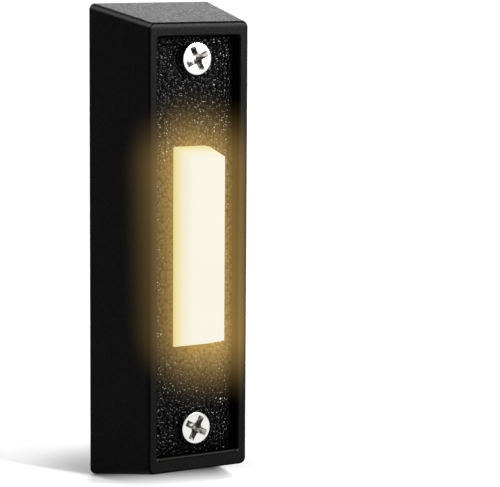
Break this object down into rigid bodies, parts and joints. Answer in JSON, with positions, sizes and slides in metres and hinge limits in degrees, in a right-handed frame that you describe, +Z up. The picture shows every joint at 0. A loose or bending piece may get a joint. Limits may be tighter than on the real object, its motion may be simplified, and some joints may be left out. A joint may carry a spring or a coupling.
{
  "type": "doorbell push button",
  "caption": "Tall black doorbell push button: leaning sides, a sunken pebbled panel in a plain rim, a lit cream push bar that springs back, and countersunk wall screws.",
  "frame": {"origin": "centre of the back face, on the wall plane", "axes": "+Z up along the long side, +Y into the wall, +X to the right for someone at the door; the front faces -Y"},
  "size_m": [0.0266, 0.0344, 0.09],
  "materials": {
    "black_coated_zinc": "fine-grained satin black coating on die-cast zinc",
    "lit_cream_plastic": "translucent cream, smooth, lit from inside",
    "contact_brass": "bright rolled strip",
    "spring_steel": "drawn wire",
    "green_laminate": "solder mask on glass laminate",
    "lamp_epoxy": "clear warm epoxy, lit",
    "tinned_wire": "tinned copper wire",
    "resistor_lacquer": "lacquer",
    "diode_epoxy": "moulded epoxy",
    "plated_steel": "zinc plated",
    "black_moulding": "fine spark-eroded moulding finish",
    "bright_plated_steel": "bright zinc plated"
  },
  "bodies": {
    "housing": {"housing": "black_coated_zinc", "upper_return_spring": "spring_steel", "lower_return_spring": "spring_steel", "circuit_board": "green_laminate", "upper_led": "lamp_epoxy", "lower_led": "lamp_epoxy", "led_leads": "tinned_wire", "resistor_body": "resistor_lacquer", "resistor_leads": "tinned_wire", "diode_body": "diode_epoxy", "diode_leads": "tinned_wire", "left_terminal_strip": "contact_brass", "right_terminal_strip": "contact_brass", "left_clamp_washer": "plated_steel", "right_clamp_washer": "plated_steel", "left_terminal_screw": "plated_steel", "right_terminal_screw": "plated_steel", "base_plate": "black_moulding", "base_screws": "plated_steel", "board_screws": "plated_steel", "upper_mounting_screw": "bright_plated_steel", "lower_mounting_screw": "bright_plated_steel"},
    "button": {"button_cap": "lit_cream_plastic", "contact_bridge": "contact_brass"}
  },
  "joints": [
    {"name": "button_press", "type": "slide", "parent": "housing", "child": "button", "axis": [0, 1, 0], "range_m": [0, 0.0015], "stiffness_N_per_m": 1200, "springref_m": -0.00125, "deforming": ["upper_return_spring", "lower_return_spring"]}
  ]
}
